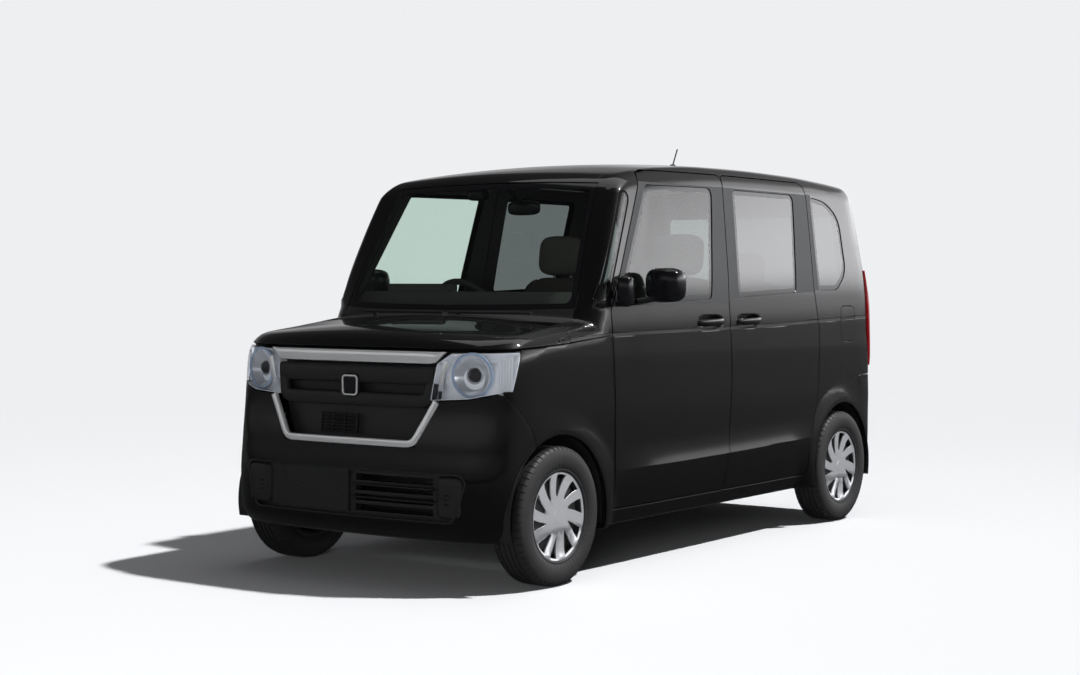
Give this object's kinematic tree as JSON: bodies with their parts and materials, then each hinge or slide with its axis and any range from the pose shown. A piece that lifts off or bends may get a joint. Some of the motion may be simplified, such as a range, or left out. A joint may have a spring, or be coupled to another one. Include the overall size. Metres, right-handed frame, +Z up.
{
  "type": "kei car",
  "caption": "Tall black two-box city car with opening front doors, bonnet, tailgate and fuel lid, a glazed cabin with seats, steered front wheels and free-rolling wheels.",
  "frame": {"origin": "on the ground under the middle of the body", "axes": "the front faces -Y, the car's left side is +X, +Z is up"},
  "size_m": [1.795, 3.395, 1.8905],
  "materials": {
    "body_paint": "gloss black paint with clear coat",
    "satin_black": "satin black moulded plastic",
    "bright_trim": "bright chromed trim",
    "lamp_clear": "clear lamp lens over bright bowls",
    "lamp_red": "red lamp lens",
    "clear_glass": "green tinted clear glass",
    "dark_glass": "dark privacy glass",
    "rubber_black": "black rubber",
    "tyre": "tyre rubber",
    "wheel_steel": "dark painted pressed steel",
    "chassis_steel": "dark chassis paint",
    "cast_metal": "cast metal",
    "pipe_steel": "heat-dulled exhaust steel",
    "seat_cloth": "dark woven seat cloth",
    "cabin_plastic": "dark grained cabin plastic"
  },
  "bodies": {
    "root": {"body_shell": "body_paint", "roof_panel": "body_paint", "floor_pan": "chassis_steel", "front_frame": "chassis_steel", "front_fenders": "body_paint", "wheelhouses": "satin_black", "front_bumper": "body_paint", "grille": "satin_black", "grille_trim": "bright_trim", "lower_grille": "satin_black", "headlamps": "lamp_clear", "windscreen": "clear_glass", "corner_windows": "clear_glass", "quarter_windows": "dark_glass", "wipers": "satin_black", "antenna": "satin_black", "rear_door_left": "body_paint", "rear_door_right": "body_paint", "rear_door_windows": "dark_glass", "rear_door_handles": "body_paint", "tail_lamps": "lamp_red", "rear_bumper": "body_paint", "dashboard": "cabin_plastic", "front_seats": "seat_cloth", "rear_seat": "seat_cloth", "engine": "cast_metal", "fuel_tank": "satin_black", "exhaust": "pipe_steel", "front_suspension": "chassis_steel", "rear_axle": "chassis_steel"},
    "bonnet": {"bonnet": "body_paint"},
    "front_door_left": {"front_door_left": "body_paint", "front_window_left": "clear_glass", "front_handle_left": "body_paint", "mirror_left": "body_paint"},
    "front_door_right": {"front_door_right": "body_paint", "front_window_right": "clear_glass", "front_handle_right": "body_paint", "mirror_right": "body_paint"},
    "tailgate": {"tailgate": "body_paint", "tailgate_window": "dark_glass", "rear_wiper": "satin_black"},
    "fuel_lid": {"fuel_lid": "body_paint"},
    "steering_wheel": {"steering_wheel": "cabin_plastic"},
    "knuckle_left": {"knuckle_left": "cast_metal"},
    "knuckle_right": {"knuckle_right": "cast_metal"},
    "wheel_front_left": {"wheel_front_left": "wheel_steel", "tyre_front_left": "tyre"},
    "wheel_front_right": {"wheel_front_right": "wheel_steel", "tyre_front_right": "tyre"},
    "wheel_rear_left": {"wheel_rear_left": "wheel_steel", "tyre_rear_left": "tyre"},
    "wheel_rear_right": {"wheel_rear_right": "wheel_steel", "tyre_rear_right": "tyre"}
  },
  "joints": [
    {"name": "front_door_left_hinge", "type": "hinge", "parent": "root", "child": "front_door_left", "pos_m": [0.7335, -0.864, 0.7], "axis": [0, 0, -1], "range_deg": [0, 70]},
    {"name": "front_door_right_hinge", "type": "hinge", "parent": "root", "child": "front_door_right", "pos_m": [-0.7335, -0.864, 0.7], "axis": [0, 0, 1], "range_deg": [0, 70]},
    {"name": "bonnet_hinge", "type": "hinge", "parent": "root", "child": "bonnet", "pos_m": [0, -1.138, 1.044], "axis": [-1, 0, 0], "range_deg": [0, 55]},
    {"name": "tailgate_hinge", "type": "hinge", "parent": "root", "child": "tailgate", "pos_m": [0, 1.5125, 1.747], "axis": [1, 0, 0], "range_deg": [0, 80]},
    {"name": "fuel_lid_hinge", "type": "hinge", "parent": "root", "child": "fuel_lid", "pos_m": [0.7375, 1.271, 1.002], "axis": [0, 0, -1], "range_deg": [0, 95]},
    {"name": "steer_left", "type": "hinge", "parent": "root", "child": "knuckle_left", "pos_m": [0.59, -1.231, 0.2785], "axis": [0, 0, 1], "range_deg": [-36, 36]},
    {"name": "steer_right", "type": "hinge", "parent": "root", "child": "knuckle_right", "pos_m": [-0.59, -1.231, 0.2785], "axis": [0, 0, 1], "range_deg": [-36, 36]},
    {"name": "steering_wheel_turn", "type": "hinge", "parent": "root", "child": "steering_wheel", "pos_m": [-0.35, -0.441, 1.062], "axis": [0, 0.8829, 0.4695], "range_deg": [-612, 612]},
    {"name": "wheel_front_left_spin", "type": "hinge", "parent": "knuckle_left", "child": "wheel_front_left", "pos_m": [0.6525, -1.231, 0.2785], "axis": [1, 0, 0], "continuous": true},
    {"name": "wheel_front_right_spin", "type": "hinge", "parent": "knuckle_right", "child": "wheel_front_right", "pos_m": [-0.6525, -1.231, 0.2785], "axis": [1, 0, 0], "continuous": true},
    {"name": "wheel_rear_left_spin", "type": "hinge", "parent": "root", "child": "wheel_rear_left", "pos_m": [0.6525, 1.289, 0.2785], "axis": [1, 0, 0], "continuous": true},
    {"name": "wheel_rear_right_spin", "type": "hinge", "parent": "root", "child": "wheel_rear_right", "pos_m": [-0.6525, 1.289, 0.2785], "axis": [1, 0, 0], "continuous": true}
  ],
  "couplings": [
    {"joint": "steer_right", "follows": "steer_left", "ratio": 1},
    {"joint": "steering_wheel_turn", "follows": "steer_left", "ratio": 17}
  ]
}
